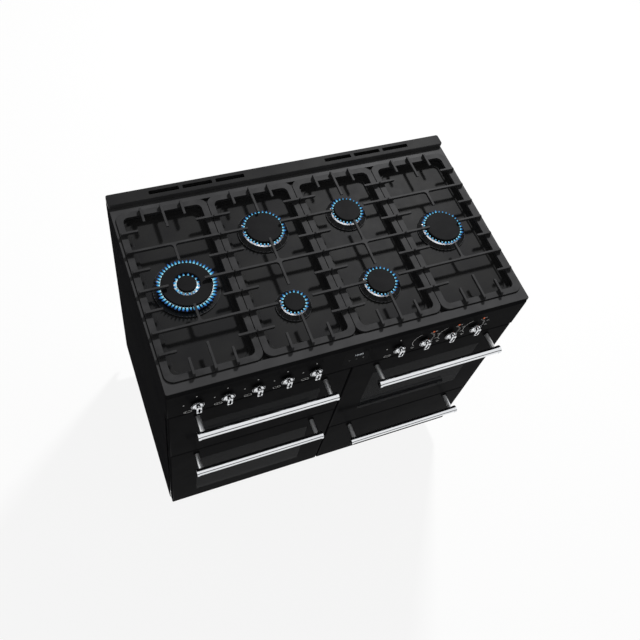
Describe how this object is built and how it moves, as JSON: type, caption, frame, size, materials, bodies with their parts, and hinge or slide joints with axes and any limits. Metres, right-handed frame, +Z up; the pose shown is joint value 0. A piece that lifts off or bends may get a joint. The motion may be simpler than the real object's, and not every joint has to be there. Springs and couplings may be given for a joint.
{
  "type": "dual fuel range cooker",
  "caption": "Free-standing range cooker with a gas hob under cast pan supports, drop-down electric oven doors, a storage drawer and turning control knobs.",
  "frame": {"origin": "on the floor, under the middle of the cooker's box, handles included", "axes": "+X to the right seen from the front, +Y from the front to the back, +Z up"},
  "size_m": [1, 0.668, 0.916],
  "materials": {
    "black_enamel": "satin enamel",
    "black_gloss": "gloss enamel",
    "cast_iron": "matt enamel",
    "burner_black": "matt enamel",
    "burner_alloy": "cast, machined",
    "chrome": "polished",
    "glass": "tinted, polished",
    "galvanised": "zinc coated",
    "oven_enamel": "speckled enamel",
    "steel": "drawn",
    "brass": "machined",
    "pipe": "drawn",
    "moulded_black": "moulded"
  },
  "bodies": {
    "cabinet": {"base_frame": "galvanised", "burner_caps": "burner_black", "burner_crowns": "burner_alloy", "burner_cups": "burner_black", "burner_electrodes": "steel", "centre_wall": "galvanised", "clock_glass": "glass", "control_panel": "black_gloss", "door_hinges": "steel", "drawer_runners": "galvanised", "fan_motor": "moulded_black", "gas_rail": "pipe", "gas_taps": "brass", "grill_cavity": "oven_enamel", "hob_top": "black_enamel", "left_oven_cavity": "oven_enamel", "left_side_panel": "black_enamel", "levelling_feet": "steel", "oven_elements": "steel", "oven_shelves": "steel", "oven_switches": "moulded_black", "pan_support_1": "cast_iron", "pan_support_2": "cast_iron", "pan_support_3": "cast_iron", "pan_support_4": "cast_iron", "rear_panel": "galvanised", "rear_upstand": "black_enamel", "right_oven_cavity": "oven_enamel", "right_side_panel": "black_enamel"},
    "grill_door": {"grill_door_skin": "black_gloss", "grill_door_liner": "oven_enamel", "grill_door_glass": "glass", "grill_door_handle": "chrome"},
    "left_oven_door": {"left_oven_door_skin": "black_gloss", "left_oven_door_liner": "oven_enamel", "left_oven_door_glass": "glass", "left_oven_door_handle": "chrome"},
    "right_oven_door": {"right_oven_door_skin": "black_gloss", "right_oven_door_liner": "oven_enamel", "right_oven_door_glass": "glass", "right_oven_door_handle": "chrome"},
    "drawer": {"drawer_front": "black_gloss", "drawer_box": "galvanised", "drawer_handle": "chrome"},
    "tap_spindle_1": {"tap_spindle_1": "steel"},
    "gas_knob_1": {"gas_knob_1": "chrome"},
    "tap_spindle_2": {"tap_spindle_2": "steel"},
    "gas_knob_2": {"gas_knob_2": "chrome"},
    "tap_spindle_3": {"tap_spindle_3": "steel"},
    "gas_knob_3": {"gas_knob_3": "chrome"},
    "tap_spindle_4": {"tap_spindle_4": "steel"},
    "gas_knob_4": {"gas_knob_4": "chrome"},
    "tap_spindle_5": {"tap_spindle_5": "steel"},
    "gas_knob_5": {"gas_knob_5": "chrome"},
    "tap_spindle_6": {"tap_spindle_6": "steel"},
    "gas_knob_6": {"gas_knob_6": "chrome"},
    "oven_knob_1": {"oven_knob_1": "chrome"},
    "oven_knob_2": {"oven_knob_2": "chrome"},
    "oven_knob_3": {"oven_knob_3": "chrome"},
    "oven_fan": {"oven_fan": "steel"}
  },
  "joints": [
    {"name": "grill_door_hinge", "type": "hinge", "parent": "cabinet", "child": "grill_door", "pos_m": [-0.24925, -0.256, 0.5145], "axis": [1, 0, 0], "range_deg": [0, 90], "stiffness_Nm_per_rad": 2, "springref_deg": -22.92},
    {"name": "left_oven_door_hinge", "type": "hinge", "parent": "cabinet", "child": "left_oven_door", "pos_m": [-0.24925, -0.256, 0.108], "axis": [1, 0, 0], "range_deg": [0, 90], "stiffness_Nm_per_rad": 2, "springref_deg": -22.92},
    {"name": "right_oven_door_hinge", "type": "hinge", "parent": "cabinet", "child": "right_oven_door", "pos_m": [0.24925, -0.256, 0.3695], "axis": [1, 0, 0], "range_deg": [0, 90], "stiffness_Nm_per_rad": 2, "springref_deg": -22.92},
    {"name": "drawer_slide", "type": "slide", "parent": "cabinet", "child": "drawer", "axis": [0, -1, 0], "range_m": [0, 0.25]},
    {"name": "gas_knob_1_push", "type": "slide", "parent": "cabinet", "child": "tap_spindle_1", "axis": [0, 1, 0], "range_m": [0, 0.004], "stiffness_N_per_m": 900, "springref_m": -0.002},
    {"name": "gas_knob_1_turn", "type": "hinge", "parent": "tap_spindle_1", "child": "gas_knob_1", "pos_m": [-0.425, -0.266, 0.82], "axis": [0, -1, 0], "range_deg": [0, 210]},
    {"name": "gas_knob_2_push", "type": "slide", "parent": "cabinet", "child": "tap_spindle_2", "axis": [0, 1, 0], "range_m": [0, 0.004], "stiffness_N_per_m": 900, "springref_m": -0.002},
    {"name": "gas_knob_2_turn", "type": "hinge", "parent": "tap_spindle_2", "child": "gas_knob_2", "pos_m": [-0.3475, -0.266, 0.82], "axis": [0, -1, 0], "range_deg": [0, 210]},
    {"name": "gas_knob_3_push", "type": "slide", "parent": "cabinet", "child": "tap_spindle_3", "axis": [0, 1, 0], "range_m": [0, 0.004], "stiffness_N_per_m": 900, "springref_m": -0.002},
    {"name": "gas_knob_3_turn", "type": "hinge", "parent": "tap_spindle_3", "child": "gas_knob_3", "pos_m": [-0.27, -0.266, 0.82], "axis": [0, -1, 0], "range_deg": [0, 210]},
    {"name": "gas_knob_4_push", "type": "slide", "parent": "cabinet", "child": "tap_spindle_4", "axis": [0, 1, 0], "range_m": [0, 0.004], "stiffness_N_per_m": 900, "springref_m": -0.002},
    {"name": "gas_knob_4_turn", "type": "hinge", "parent": "tap_spindle_4", "child": "gas_knob_4", "pos_m": [-0.1925, -0.266, 0.82], "axis": [0, -1, 0], "range_deg": [0, 210]},
    {"name": "gas_knob_5_push", "type": "slide", "parent": "cabinet", "child": "tap_spindle_5", "axis": [0, 1, 0], "range_m": [0, 0.004], "stiffness_N_per_m": 900, "springref_m": -0.002},
    {"name": "gas_knob_5_turn", "type": "hinge", "parent": "tap_spindle_5", "child": "gas_knob_5", "pos_m": [-0.115, -0.266, 0.82], "axis": [0, -1, 0], "range_deg": [0, 210]},
    {"name": "gas_knob_6_push", "type": "slide", "parent": "cabinet", "child": "tap_spindle_6", "axis": [0, 1, 0], "range_m": [0, 0.004], "stiffness_N_per_m": 900, "springref_m": -0.002},
    {"name": "gas_knob_6_turn", "type": "hinge", "parent": "tap_spindle_6", "child": "gas_knob_6", "pos_m": [0.122, -0.266, 0.82], "axis": [0, -1, 0], "range_deg": [0, 210]},
    {"name": "oven_knob_1_turn", "type": "hinge", "parent": "cabinet", "child": "oven_knob_1", "pos_m": [0.1995, -0.266, 0.82], "axis": [0, -1, 0], "range_deg": [-270, 0]},
    {"name": "oven_knob_2_turn", "type": "hinge", "parent": "cabinet", "child": "oven_knob_2", "pos_m": [0.277, -0.266, 0.82], "axis": [0, -1, 0], "range_deg": [-270, 0]},
    {"name": "oven_knob_3_turn", "type": "hinge", "parent": "cabinet", "child": "oven_knob_3", "pos_m": [0.3545, -0.266, 0.82], "axis": [0, -1, 0], "range_deg": [-270, 0]},
    {"name": "oven_fan_spin", "type": "hinge", "parent": "cabinet", "child": "oven_fan", "pos_m": [0.24925, 0.204, 0.57075], "axis": [0, -1, 0], "continuous": true}
  ]
}
